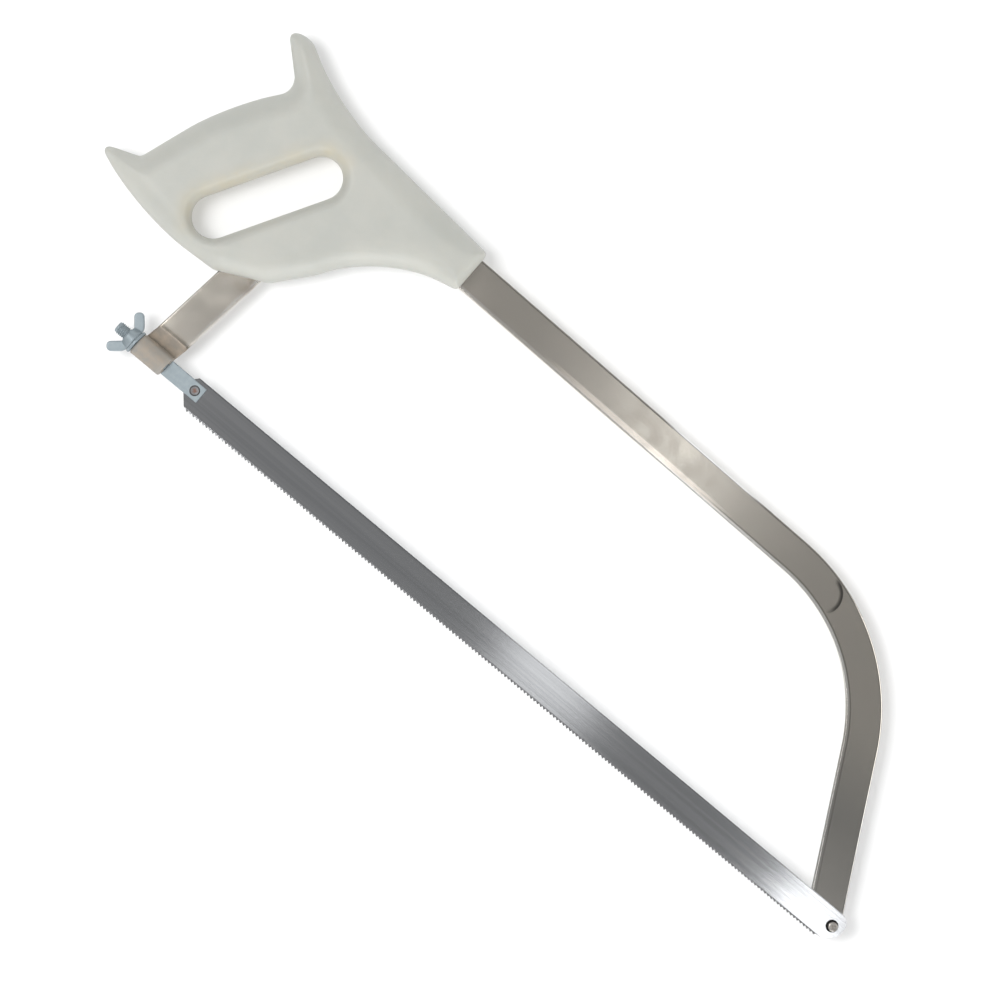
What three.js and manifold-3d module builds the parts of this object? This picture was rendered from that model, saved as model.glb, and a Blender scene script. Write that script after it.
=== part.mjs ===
// Butcher saw, lying on its side. A flat steel bar is bent into a bow and carries a
// moulded grip. A toothed blade hooks on a stud in the bow's nose and is riveted to a
// draw bar, which a wing nut pulls back through the rolled eye at the bar's rear end.
// Millimetres. +X runs along the blade from grip to nose, +Y from the blade to the
// top of the bow, and +Z up through the saw's flat side.

import * as THREE from 'three';
import { mergeVertices } from 'three/addons/utils/BufferGeometryUtils.js';
import Module from 'manifold-3d';

// Blade
const HOLE_SPACING = 500;
const BLADE_WIDTH = 20.8;
const BLADE_THICKNESS = 0.8;
const REAR_HOLE_TO_BACK = 7.7;
const FRONT_HOLE_TO_BACK = 9.5;
const BLADE_TAIL = 7.3;
const TAIL_FLAT = 4.4;
const TAIL_SLOPE_DEG = 49;
const TAIL_ROUND = 1;
const BLADE_NOSE = 7.2;
const NOSE_BACK_RADIUS = 7;
const NOSE_TOOTH_RADIUS = 12;
const TOOTH_PITCH = 2.54;
const TOOTH_DEPTH = 1.4;
const TOOTH_LEAN = 0.7;
const FRONT_HOLE_DIAMETER = 7.8;

// Bow bar
const BAR_WIDTH = 22.2;
const BAR_THICKNESS = 3;
const BAR_EDGE_RADIUS = 1.2;
const TOP_HEIGHT = 161.7;
const TOP_FALL_DEG = 1;
const LEG_ANGLE_DEG = 61.9;
const LEG_SETBACK = 7;
const FRONT_BEND_RADIUS = 120;
const REAR_BEND_RADIUS = 100;
const ARM_LEAN_DEG = 7.3;
const ARM_SETBACK = 32.7;
const EYE_LEAN_DEG = 4.4;
const EYE_SETBACK = 33.6;
const EYE_WRAP_DEG = 295;
const JOGGLE_RADIUS = 7;
const JOGGLE_TO_EYE = 4.6;

// Stud and rivet
const STUD_DIAMETER = 5.8;
const STUD_STANDOUT = 2;
const STUD_CHAMFER = 0.8;
const STUD_TAIL_DIAMETER = 9;
const STUD_TAIL_HEIGHT = 1.1;
const RIVET_DIAMETER = 5;
const RIVET_HEAD_DIAMETER = 6.6;
const RIVET_HEAD_DEPTH = 0.8;

// Draw bar, washer and wing nut
const DRAW_BAR_WIDTH = 10.6;
const DRAW_BAR_TIP_WIDTH = 10.2;
const DRAW_BAR_THICKNESS = 4.8;
const DRAW_BAR_TIP = 5.2;
const DRAW_BAR_CORNER = 0.8;
const SHOULDER_GAP = 0.9;
const SHOULDER_TAPER = 3;
const SHANK_END = 60.6;
const THREAD_DIAMETER = 8;
const THREAD_PITCH = 1.25;
const THREAD_DEPTH = 0.6;
const THREAD_LENGTH = 18;
const WASHER_DIAMETER = 15.6;
const WASHER_THICKNESS = 1.6;
const HUB_DIAMETER = 13;
const HUB_TOP_DIAMETER = 11.2;
const HUB_HEIGHT = 5.6;
const HUB_FOOT = 1.4;
const WING_THICKNESS = 2.4;

// Side view of one wing as [distance behind the seat, distance from the axis, fillet radius].
const WING_CORNERS = [
  [0, 5, 0],
  [0, 7.8, 1],
  [8.4, 16, 1.6],
  [12, 11.8, 1.6],
  [6.7, 6.4, 1],
  [5.2, 5, 0],
];

// Grip. Corners of its side view as [x, y, fillet radius], measured from the point
// where the centre lines of the bar's top and rear arm would cross.
const GRIP_THICKNESS = 28;
const GRIP_EDGE_INSET = 3;
const GRIP_EDGE_DEPTH = 7;
const GRIP_CORNERS = [
  [-128.7, -84.3, 3.7],
  [-103.7, -74.8, 3.2],
  [-83.3, -15.7, 160],
  [-57.1, 15.3, 10.2],
  [-83.9, 40.1, 3.6],
  [-72.2, 46.6, 13.8],
  [-30.6, 24.3, 143],
  [94.1, 14.5, 3.4],
  [93.7, -14, 3.2],
  [44.3, -26.3, 88],
  [23.4, -61.3, 30],
  [4.5, -83.7, 15],
  [-26.5, -98.9, 4.8],
  [-84.4, -102.3, 162],
];
const SLOT_REAR = [-46.9, -74.5];
const SLOT_FRONT = [-12.1, -15.1];
const SLOT_WIDTH = 26.2;

// Clearances and facets
const FIT = 0.3;
const BLADE_GAP = 0.2;
const CHORD_ERROR = 0.1;
const TURNED_SIDES = 24;
const BEVEL_STEPS = 3;
const CUT_MARGIN = 20;
const WELD_DISTANCE = 1e-4;

const wasm = await Module();
wasm.setup();

const UP = new THREE.Vector3(0, 0, 1);
const ALONG = new THREE.Vector3(1, 0, 0);

const flat = (x, y) => new THREE.Vector2(x, y);

// Number of chords that keep an arc within CHORD_ERROR of its curve.
function arcSteps(radius, sweep) {
  const widest = 2 * Math.acos(1 - Math.min(CHORD_ERROR / radius, 1));
  return Math.max(1, Math.ceil(Math.abs(sweep) / widest));
}

// Closed outline through [x, y, radius] corners, each rounded by its radius, or by as
// much of it as the sides beside it have room for.
function filletedOutline(corners) {
  const count = corners.length;
  const sharp = corners.map(([x, y]) => flat(x, y));
  const toward = (i, j) => sharp[j % count].clone().sub(sharp[i]).normalize();
  const halves = corners.map((corner, i) => toward(i, i + count - 1).angleTo(toward(i, i + 1)) / 2);
  const reaches = corners.map(([, , radius], i) => radius / Math.tan(halves[i]));
  const room = (i, j) => sharp[i].distanceTo(sharp[j % count]) / (reaches[i] + reaches[j % count]);
  const points = [];
  corners.forEach(([, , radius], i) => {
    if (radius === 0) {
      points.push(sharp[i]);
      return;
    }
    const back = toward(i, i + count - 1);
    const ahead = toward(i, i + 1);
    const share = Math.min(1, room(i, i + count - 1), room(i, i + 1));
    const inward = back.clone().add(ahead).normalize();
    const centre = sharp[i].clone().addScaledVector(inward, (radius * share) / Math.sin(halves[i]));
    const start = sharp[i].clone().addScaledVector(back, reaches[i] * share);
    const turn = Math.PI - 2 * halves[i];
    const sweep = back.cross(ahead) < 0 ? turn : -turn;
    const steps = arcSteps(radius * share, sweep);
    for (let k = 0; k <= steps; k += 1) {
      points.push(start.clone().rotateAround(centre, (sweep * k) / steps));
    }
  });
  return points;
}

// Solid from a closed mesh, once its shared vertices are merged.
function solidOf(geometry) {
  const bare = new THREE.BufferGeometry();
  bare.setAttribute('position', geometry.getAttribute('position'));
  bare.setIndex(geometry.getIndex());
  const merged = mergeVertices(bare, WELD_DISTANCE);
  return new wasm.Manifold(new wasm.Mesh({
    numProp: 3,
    vertProperties: new Float32Array(merged.getAttribute('position').array),
    triVerts: new Uint32Array(merged.getIndex().array),
  }));
}

function geometryOf(solid) {
  const { vertProperties, triVerts } = solid.getMesh();
  const geometry = new THREE.BufferGeometry();
  geometry.setAttribute('position', new THREE.BufferAttribute(vertProperties, 3));
  geometry.setIndex(new THREE.BufferAttribute(triVerts, 1));
  geometry.computeVertexNormals();
  return geometry;
}

// Plate of a given outline between two heights.
function plate(outline, low, high, holes = []) {
  const shape = new THREE.Shape(outline);
  shape.holes = holes.map((hole) => new THREE.Path(hole));
  const geometry = new THREE.ExtrudeGeometry(shape, { depth: high - low, bevelEnabled: false });
  return geometry.translate(0, 0, low);
}

// Plate whose edges round over by inset in the plane and by depth through it.
function roundedPlate(outline, low, high, inset, depth, holes = []) {
  const shape = new THREE.Shape(outline);
  shape.holes = holes.map((hole) => new THREE.Path(hole));
  const geometry = new THREE.ExtrudeGeometry(shape, {
    depth: high - low - 2 * depth,
    bevelThickness: depth,
    bevelSize: inset,
    bevelOffset: -inset,
    bevelSegments: BEVEL_STEPS,
  });
  return geometry.translate(0, 0, low + depth);
}

// Turned piece from a profile of [radius, height] pairs about +Z.
function turned(profile) {
  const points = profile.map(([radius, height]) => flat(radius, height));
  return new THREE.LatheGeometry(points, TURNED_SIDES).rotateX(Math.PI / 2);
}

// Turned piece whose heights run rearwards from the origin.
const turnedRearwards = (profile) => turned(profile).rotateY(-Math.PI / 2);

function circle(x, y, radius) {
  const steps = Math.max(TURNED_SIDES, arcSteps(radius, 2 * Math.PI));
  const points = [];
  for (let k = 0; k < steps; k += 1) {
    const angle = (2 * Math.PI * k) / steps;
    points.push(flat(x + radius * Math.cos(angle), y + radius * Math.sin(angle)));
  }
  return points;
}

// Heights, from the middle plane of the bar
const bladeLow = BAR_THICKNESS / 2 + BLADE_GAP;
const bladeHigh = bladeLow + BLADE_THICKNESS;
const boltHeight = (bladeLow + bladeHigh) / 2;

// The bar's centre lines
const lean = THREE.MathUtils.degToRad(ARM_LEAN_DEG);
const fall = THREE.MathUtils.degToRad(TOP_FALL_DEG);
const legAngle = THREE.MathUtils.degToRad(LEG_ANGLE_DEG);
const armX = (y) => y * Math.tan(lean) - ARM_SETBACK;
const rearCorner = flat(armX(TOP_HEIGHT), TOP_HEIGHT);
const studX = HOLE_SPACING + (FRONT_HOLE_DIAMETER - STUD_DIAMETER) / 2 - FIT;
const legFootX = studX - LEG_SETBACK;
const legDown = flat(Math.cos(legAngle), -Math.sin(legAngle));
const topForward = flat(Math.cos(fall), -Math.sin(fall));
const armDown = flat(-Math.sin(lean), -Math.cos(lean));

// The rolled eye: the middle of its width at a given y, and its rear and front ends
const eyeLean = THREE.MathUtils.degToRad(EYE_LEAN_DEG);
const eyeHalf = BAR_WIDTH / 2 / Math.cos(lean);
const eyeX = (y) => y * Math.tan(eyeLean) - EYE_SETBACK;
const eyeRear = (y) => eyeX(y) - eyeHalf;
const eyeFront = (y) => eyeX(y) + eyeHalf;

function crossing(a, alongA, b, alongB) {
  const reach = flat(b.x - a.x, b.y - a.y).cross(alongB) / alongA.cross(alongB);
  return a.clone().addScaledVector(alongA, reach);
}

const frontCorner = crossing(rearCorner, topForward, flat(legFootX, 0), legDown);

// A cross-section of the bar: where it is, its width direction and its face direction.
const station = (at, across, through, halfWidth) => ({ at, across, through, halfWidth });

function squareStation(point, heading) {
  const across = new THREE.Vector3(-heading.y, heading.x, 0);
  return station(new THREE.Vector3(point.x, point.y, 0), across, UP, BAR_WIDTH / 2);
}

// Cross-sections round a bend of the bar in its own plane.
function bendStations(corner, from, to, radius) {
  const turn = Math.atan2(from.cross(to), from.dot(to));
  const start = corner.clone().addScaledVector(from, -radius * Math.tan(Math.abs(turn) / 2));
  const side = Math.sign(turn);
  const centre = start.clone().add(flat(-from.y, from.x).multiplyScalar(side * radius));
  const steps = arcSteps(radius + BAR_WIDTH / 2, turn);
  const stations = [];
  for (let k = 0; k <= steps; k += 1) {
    const angle = (turn * k) / steps;
    const heading = from.clone().rotateAround(flat(0, 0), angle);
    stations.push(squareStation(start.clone().rotateAround(centre, angle), heading));
  }
  return stations;
}

// Cross-section of the rolled end, whose width lies along X.
function rolledStation(x, y, z, alongY, alongZ) {
  const through = new THREE.Vector3(0, alongZ, -alongY);
  return station(new THREE.Vector3(x, y, z), ALONG, through, eyeHalf);
}

// The joggle that drops the strip behind the bolt, then the eye rolled round it.
function eyeStations() {
  const rolled = THREAD_DIAMETER / 2 + FIT + BAR_THICKNESS / 2;
  const drop = rolled - boltHeight;
  const tilt = Math.acos(1 - drop / (2 * JOGGLE_RADIUS));
  const steps = arcSteps(JOGGLE_RADIUS + BAR_THICKNESS / 2, tilt);
  const run = JOGGLE_RADIUS * Math.sin(tilt);
  const top = JOGGLE_TO_EYE + 2 * run;
  const stations = [];
  const joggle = (y, z, angle) => {
    const share = (top - y) / (2 * run);
    const x = THREE.MathUtils.lerp(armX(y), eyeX(y), share);
    stations.push(rolledStation(x, y, z, -Math.cos(angle), -Math.sin(angle)));
  };
  for (let k = 0; k <= steps; k += 1) {
    const angle = (tilt * k) / steps;
    joggle(top - JOGGLE_RADIUS * Math.sin(angle), -JOGGLE_RADIUS * (1 - Math.cos(angle)), angle);
  }
  for (let k = steps - 1; k >= 0; k -= 1) {
    const angle = (tilt * k) / steps;
    const z = JOGGLE_RADIUS * (1 - Math.cos(angle)) - drop;
    joggle(JOGGLE_TO_EYE + JOGGLE_RADIUS * Math.sin(angle), z, angle);
  }
  const wrap = THREE.MathUtils.degToRad(EYE_WRAP_DEG);
  const turns = arcSteps(rolled + BAR_THICKNESS / 2, wrap);
  for (let k = 0; k <= turns; k += 1) {
    const angle = (wrap * k) / turns;
    const y = -rolled * Math.sin(angle);
    const z = boltHeight - rolled * Math.cos(angle);
    stations.push(rolledStation(eyeX(y), y, z, -Math.cos(angle), Math.sin(angle)));
  }
  return stations;
}

// Strip swept through its cross-sections, with rounded edges, grown by a clearance.
function sweptBar(stations, grow = 0) {
  const radius = BAR_EDGE_RADIUS + grow;
  const halfThick = BAR_THICKNESS / 2 + grow;
  const positions = [];
  let sides = 0;
  for (const { at, across, through, halfWidth } of stations) {
    const wide = halfWidth + grow;
    const section = filletedOutline([
      [wide, halfThick, radius],
      [-wide, halfThick, radius],
      [-wide, -halfThick, radius],
      [wide, -halfThick, radius],
    ]);
    sides = section.length;
    for (const { x, y } of section) {
      const point = at.clone().addScaledVector(across, x).addScaledVector(through, y);
      positions.push(...point.toArray());
    }
  }
  const index = [];
  for (let i = 0; i < stations.length - 1; i += 1) {
    for (let k = 0; k < sides; k += 1) {
      const a = i * sides + k;
      const b = i * sides + ((k + 1) % sides);
      index.push(a, b, a + sides, b, b + sides, a + sides);
    }
  }
  const last = (stations.length - 1) * sides;
  for (let k = 1; k < sides - 1; k += 1) {
    index.push(0, k + 1, k, last, last + k, last + k + 1);
  }
  const geometry = new THREE.BufferGeometry();
  geometry.setAttribute('position', new THREE.Float32BufferAttribute(positions, 3));
  geometry.setIndex(index);
  return geometry;
}

const legEnd = flat(legFootX, 0).addScaledVector(legDown, BAR_WIDTH);
const legUp = legDown.clone().negate();
const topBack = topForward.clone().negate();
const frontBend = bendStations(frontCorner, legUp, topBack, FRONT_BEND_RADIUS);
const rearBend = bendStations(rearCorner, topBack, armDown, REAR_BEND_RADIUS);
const rolledEnd = eyeStations();

// The top is swept in two lengths, so that the front one has a flat face clear of the grip.
const midTop = frontBend.at(-1).at.clone().lerp(rearBend[0].at, 0.5);
const barStations = [
  squareStation(legEnd, legUp),
  ...frontBend,
  squareStation(midTop, topBack),
  ...rearBend,
  ...rolledEnd,
];

// The nose of the bow is trimmed level with the blade and rounded about the stud.
function noseTrim() {
  const outward = flat(-legDown.y, legDown.x);
  const toEdge = BAR_WIDTH / 2 - (studX - legFootX) * outward.x;
  const points = [flat(studX - BAR_WIDTH - CUT_MARGIN, -toEdge)];
  const sweep = Math.PI / 2 + Math.atan2(outward.y, outward.x);
  const steps = arcSteps(toEdge, sweep);
  for (let k = 0; k <= steps; k += 1) {
    const angle = (sweep * k) / steps - Math.PI / 2;
    points.push(flat(studX + toEdge * Math.cos(angle), toEdge * Math.sin(angle)));
  }
  points.push(points.at(-1).clone().addScaledVector(outward, CUT_MARGIN));
  points.push(flat(studX + BAR_WIDTH + CUT_MARGIN, -BAR_WIDTH - CUT_MARGIN));
  points.push(flat(studX - BAR_WIDTH - CUT_MARGIN, -BAR_WIDTH - CUT_MARGIN));
  return plate(points, -BAR_THICKNESS, BAR_THICKNESS);
}

function frameBar() {
  const studHole = plate(circle(studX, 0, STUD_DIAMETER / 2 + FIT), -BAR_THICKNESS, BAR_THICKNESS);
  const bar = solidOf(sweptBar(barStations)).subtract(solidOf(noseTrim()));
  return geometryOf(bar.subtract(solidOf(studHole)));
}

// Hand slot: two half rounds joined by straight sides.
function slotOutline() {
  const rear = flat(...SLOT_REAR);
  const front = flat(...SLOT_FRONT);
  const axis = front.clone().sub(rear).normalize();
  const radius = SLOT_WIDTH / 2;
  const steps = arcSteps(radius, Math.PI);
  const points = [];
  const halfRound = (centre, heading) => {
    for (let k = 0; k <= steps; k += 1) {
      const angle = heading.angle() - Math.PI / 2 + (Math.PI * k) / steps;
      points.push(flat(centre.x + radius * Math.cos(angle), centre.y + radius * Math.sin(angle)));
    }
  };
  halfRound(front, axis);
  halfRound(rear, axis.clone().negate());
  return points.map((point) => point.add(rearCorner));
}

// Grip moulded round the bar, which fills the channel through it.
function grip() {
  const outline = filletedOutline(GRIP_CORNERS).map((point) => point.add(rearCorner));
  const half = GRIP_THICKNESS / 2;
  const body = roundedPlate(outline, -half, half, GRIP_EDGE_INSET, GRIP_EDGE_DEPTH, [slotOutline()]);
  const topStart = frontCorner.clone().addScaledVector(topBack, FRONT_BEND_RADIUS);
  const channel = sweptBar([squareStation(topStart, topBack), ...rearBend, rolledEnd[0]], FIT);
  return geometryOf(solidOf(body).subtract(solidOf(channel)));
}

// Rod with its end forged flat and slotted for the blade's tail. The rod is cut with
// ring-shaped thread ridges.
function drawBar() {
  const corner = DRAW_BAR_CORNER;
  const wide = DRAW_BAR_WIDTH / 2;
  const tipWide = DRAW_BAR_TIP_WIDTH / 2;
  const outline = filletedOutline([
    [eyeFront(-wide) + SHOULDER_GAP, -wide, corner],
    [DRAW_BAR_TIP, -tipWide, corner],
    [DRAW_BAR_TIP, tipWide, corner],
    [eyeFront(wide) + SHOULDER_GAP, wide, corner],
  ]);
  const half = DRAW_BAR_THICKNESS / 2;
  const bevel = corner / 2;
  const flatPart = roundedPlate(outline, boltHeight - half, boltHeight + half, bevel, bevel);
  const radius = THREAD_DIAMETER / 2;
  const taperStart = eyeFront(0) + SHOULDER_GAP + SHOULDER_TAPER;
  const length = SHANK_END + taperStart;
  const profile = [[0, 0], [half - bevel, 0], [radius, SHOULDER_TAPER]];
  const ridges = Math.floor(THREAD_LENGTH / THREAD_PITCH);
  for (let k = ridges; k > 0; k -= 1) {
    const ridge = length - k * THREAD_PITCH;
    profile.push([radius, ridge], [radius - THREAD_DEPTH, ridge + THREAD_PITCH / 2]);
  }
  profile.push([radius - THREAD_DEPTH, length], [0, length]);
  const shank = turnedRearwards(profile).translate(taperStart, 0, boltHeight);
  const slotRear = -BLADE_TAIL - 4 * FIT;
  const slotFront = DRAW_BAR_TIP + CUT_MARGIN;
  const slot = [
    flat(slotRear, -CUT_MARGIN),
    flat(slotFront, -CUT_MARGIN),
    flat(slotFront, CUT_MARGIN),
    flat(slotRear, CUT_MARGIN),
  ];
  const fork = plate(slot, bladeLow - BLADE_GAP, bladeHigh + BLADE_GAP);
  const joined = solidOf(flatPart).add(solidOf(shank));
  return geometryOf(joined.subtract(solidOf(fork)).subtract(solidOf(rivetForm(FIT))));
}

// Countersunk rivet, flush with both faces of the fork, grown by a clearance.
function rivetForm(grow) {
  const half = DRAW_BAR_THICKNESS / 2;
  const radius = RIVET_DIAMETER / 2 + grow;
  const head = RIVET_HEAD_DIAMETER / 2 + grow;
  const neck = half - RIVET_HEAD_DEPTH;
  const geometry = turned([[0, -half], [head, -half], [radius, -neck], [radius, neck], [head, half], [0, half]]);
  return geometry.translate(0, 0, boltHeight);
}

// The washer and the wing nut seat on the eye's leaning end, so they sit askew on the
// rod, with the nut's middle on the rod's axis.
const nutSeat = 2 * FIT + WASHER_THICKNESS;
const seatShift = -(nutSeat + HUB_HEIGHT / 2) * Math.sin(eyeLean);

function seatedOnEye(geometry) {
  return geometry.rotateZ(-eyeLean).translate(eyeRear(seatShift), seatShift, boltHeight);
}

function washer() {
  const bore = THREAD_DIAMETER / 2 + 2 * FIT;
  const rim = WASHER_DIAMETER / 2;
  const back = FIT + WASHER_THICKNESS;
  return seatedOnEye(turnedRearwards([[bore, FIT], [rim, FIT], [rim, back], [bore, back], [bore, FIT]]));
}

// Hub with two leaf wings that lean back along the rod.
function wingNut() {
  const hub = turnedRearwards([
    [0, 0],
    [HUB_DIAMETER / 2, 0],
    [HUB_DIAMETER / 2, HUB_FOOT],
    [HUB_TOP_DIAMETER / 2, HUB_HEIGHT],
    [0, HUB_HEIGHT],
  ]);
  const leaf = filletedOutline(WING_CORNERS.map(([back, out, radius]) => [-back, out, radius]));
  const bevel = WING_THICKNESS / 4;
  const wing = roundedPlate(leaf, -WING_THICKNESS / 2, WING_THICKNESS / 2, bevel, bevel);
  const otherWing = wing.clone().rotateX(Math.PI);
  const bore = THREAD_DIAMETER / 2 + FIT;
  const hole = turnedRearwards([
    [0, -CUT_MARGIN],
    [bore, -CUT_MARGIN],
    [bore, CUT_MARGIN],
    [0, CUT_MARGIN],
  ]);
  const nut = solidOf(hub).add(solidOf(wing)).add(solidOf(otherWing)).subtract(solidOf(hole));
  return seatedOnEye(geometryOf(nut).translate(-nutSeat, 0, 0));
}

// Toothed strip. It is drawn along its own back and then turned so that both holes
// lie on the X axis.
function blade() {
  const back = REAR_HOLE_TO_BACK;
  const tips = back - BLADE_WIDTH;
  const gullets = tips + TOOTH_DEPTH;
  const frontY = REAR_HOLE_TO_BACK - FRONT_HOLE_TO_BACK;
  const frontX = Math.sqrt(HOLE_SPACING ** 2 - frontY ** 2);
  const nose = frontX + BLADE_NOSE;
  const tailRun = (rise) => (rise - TAIL_FLAT / 2) / Math.tan(THREE.MathUtils.degToRad(TAIL_SLOPE_DEG));
  const rowRear = tailRun(-gullets) - BLADE_TAIL;
  const outline = filletedOutline([
    [rowRear, gullets, 0],
    [-BLADE_TAIL, -TAIL_FLAT / 2, TAIL_ROUND],
    [-BLADE_TAIL, TAIL_FLAT / 2, TAIL_ROUND],
    [tailRun(back) - BLADE_TAIL, back, TAIL_ROUND],
    [nose, back, NOSE_BACK_RADIUS],
    [nose, gullets, NOSE_TOOTH_RADIUS],
  ]);
  const rowFront = nose - NOSE_TOOTH_RADIUS;
  const teeth = Math.floor((rowFront - rowRear) / TOOTH_PITCH);
  for (let k = 0; k < teeth; k += 1) {
    const front = rowFront - k * TOOTH_PITCH;
    if (k > 0) outline.push(flat(front, gullets));
    outline.push(flat(front - TOOTH_PITCH * (1 - TOOTH_LEAN), tips));
  }
  outline.push(flat(rowFront - teeth * TOOTH_PITCH, gullets));
  const holes = [
    circle(0, 0, RIVET_DIAMETER / 2 + FIT),
    circle(frontX, frontY, FRONT_HOLE_DIAMETER / 2),
  ];
  return plate(outline, bladeLow, bladeHigh, holes).rotateZ(-Math.atan2(frontY, frontX));
}

// Stud riveted through the nose of the bow, with its tail spread on the far face.
function frontStud() {
  const radius = STUD_DIAMETER / 2;
  const top = bladeHigh + STUD_STANDOUT;
  const seat = -BAR_THICKNESS / 2 - FIT;
  const tail = STUD_TAIL_DIAMETER / 2;
  const geometry = turned([
    [0, seat - STUD_TAIL_HEIGHT],
    [tail - STUD_TAIL_HEIGHT, seat - STUD_TAIL_HEIGHT],
    [tail, seat],
    [radius, seat],
    [radius, top - STUD_CHAMFER],
    [radius - STUD_CHAMFER, top],
    [0, top],
  ]);
  return geometry.translate(studX, 0, 0);
}

const finish = (color, roughness, metalness) =>
  new THREE.MeshStandardMaterial({ color, roughness, metalness });

function piece(name, geometry, material) {
  const mesh = new THREE.Mesh(geometry, material);
  mesh.name = name;
  return mesh;
}

const assembly = new THREE.Group();
assembly.add(
  piece('frame_bar', frameBar(), finish(0x96938c, 0.35, 1)),
  piece('handle', grip(), finish(0xd8d8d0, 0.5, 0)),
  piece('front_stud', frontStud(), finish(0x9a9a98, 0.4, 1)),
  piece('draw_bar', drawBar(), finish(0xa8b6bf, 0.4, 1)),
  piece('blade_rivet', geometryOf(solidOf(rivetForm(0))), finish(0x8f8076, 0.5, 1)),
  piece('washer', geometryOf(solidOf(washer())), finish(0xa8b6bf, 0.4, 1)),
  piece('wing_nut', wingNut(), finish(0xa8b6bf, 0.45, 1)),
  piece('blade', geometryOf(solidOf(blade())), finish(0x8c8e90, 0.3, 1)),
);

// The origin is under the middle of the saw, on the surface that it lies on.
const bounds = new THREE.Box3().setFromObject(assembly, true);
const middle = bounds.getCenter(new THREE.Vector3());
assembly.position.set(-middle.x, -middle.y, -bounds.min.z);

const saw = new THREE.Group();
saw.add(assembly);

export default saw;
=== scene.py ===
import math

import bmesh
import bpy
from mathutils import Matrix, Vector
from mathutils.bvhtree import BVHTree


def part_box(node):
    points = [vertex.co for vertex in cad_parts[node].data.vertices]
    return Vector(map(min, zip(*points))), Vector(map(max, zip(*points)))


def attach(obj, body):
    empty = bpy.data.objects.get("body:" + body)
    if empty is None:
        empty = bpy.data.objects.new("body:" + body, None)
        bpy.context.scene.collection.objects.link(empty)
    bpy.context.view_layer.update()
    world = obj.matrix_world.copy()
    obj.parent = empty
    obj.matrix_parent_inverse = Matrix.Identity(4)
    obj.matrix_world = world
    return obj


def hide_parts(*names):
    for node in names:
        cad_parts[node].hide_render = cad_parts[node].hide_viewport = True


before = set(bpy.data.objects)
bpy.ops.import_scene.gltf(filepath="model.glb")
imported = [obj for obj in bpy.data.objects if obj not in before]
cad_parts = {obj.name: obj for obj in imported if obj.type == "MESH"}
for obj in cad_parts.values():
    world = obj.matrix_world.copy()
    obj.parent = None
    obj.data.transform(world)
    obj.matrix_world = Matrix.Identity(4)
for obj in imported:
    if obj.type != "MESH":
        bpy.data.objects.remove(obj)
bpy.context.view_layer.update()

# Bow bar. One flat bar of stainless steel, bent on edge into the bow. Its rear end is
# joggled down and rolled into the eye that the draw bar passes through.
# Everything is drawn from the middle of the rivet in the blade's tail, the hook point.
rivet_low, rivet_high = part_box("blade_rivet")
hook = (rivet_low + rivet_high) / 2
BAR_WIDTH = 0.0222
BAR_THICKNESS = 0.003
BAR_EDGE_RADIUS = 0.0012
BAR_EDGE_SEGMENTS = 4
BAR_COLUMNS = 6
BAR_UNDER_HOOK = 0.0021
TOP_HEIGHT = 0.1617
TOP_FALL = math.radians(1)
LEG_ANGLE = math.radians(61.9)
LEG_FOOT = 0.4937
STUD_X = 0.5007
NOSE_CUTS = 12
FRONT_BEND_RADIUS = 0.12
REAR_BEND_RADIUS = 0.1
ARM_LEAN = math.radians(7.3)
ARM_SETBACK = 0.0327
EYE_LEAN = math.radians(4.4)
EYE_SETBACK = 0.0336
EYE_RADIUS = 0.0058
EYE_WRAP = math.radians(295)
JOGGLE_RADIUS = 0.007
JOGGLE_TO_EYE = 0.0046
STRAIGHT_STEP = 0.012
BEND_STEPS = 28
EYE_STEPS = 40
JOGGLE_STEPS = 8


def verts_of(geom):
    return [part for part in geom if isinstance(part, bmesh.types.BMVert)]


def edges_of(geom):
    return [part for part in geom if isinstance(part, bmesh.types.BMEdge)]


def ring_verts(ring):
    return list(dict.fromkeys(vert for edge in ring for vert in edge.verts))


def round_off(shape, geom, reach, affect, segments):
    """Rounds corners or edges, starting at a reach from them."""
    bmesh.ops.bevel(
        shape, geom=geom, offset=reach, affect=affect,
        segments=segments, profile=0.5, material=-1,
    )


def turn_about(centre, axis, angle):
    to_centre = Matrix.Translation(centre)
    return to_centre @ Matrix.Rotation(angle, 4, axis) @ to_centre.inverted()


def carry_on(shape, ring, step):
    """Extrudes the open end of a bar, moves the new ring by a matrix and returns it."""
    made = bmesh.ops.extrude_edge_only(shape, edges=ring)["geom"]
    bmesh.ops.transform(shape, matrix=step, verts=verts_of(made))
    return [edge for edge in edges_of(made) if edge.is_boundary]


def run_straight(shape, ring, run):
    steps = max(1, round(run.length / STRAIGHT_STEP))
    for _ in range(steps):
        ring = carry_on(shape, ring, Matrix.Translation(run / steps))
    return ring


def run_round(shape, ring, centre, angle):
    step = turn_about(centre, "Z", angle / BEND_STEPS)
    for _ in range(BEND_STEPS):
        ring = carry_on(shape, ring, step)
    return ring


def slope(angle):
    """Heading in the plane of the saw, turned by an angle from +X."""
    return Vector((math.cos(angle), math.sin(angle), 0))


def left_of(heading):
    return Vector((-heading.y, heading.x, 0))


def arm_x(y):
    return y * math.tan(ARM_LEAN) - ARM_SETBACK


def eye_x(y):
    return y * math.tan(EYE_LEAN) - EYE_SETBACK


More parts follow.
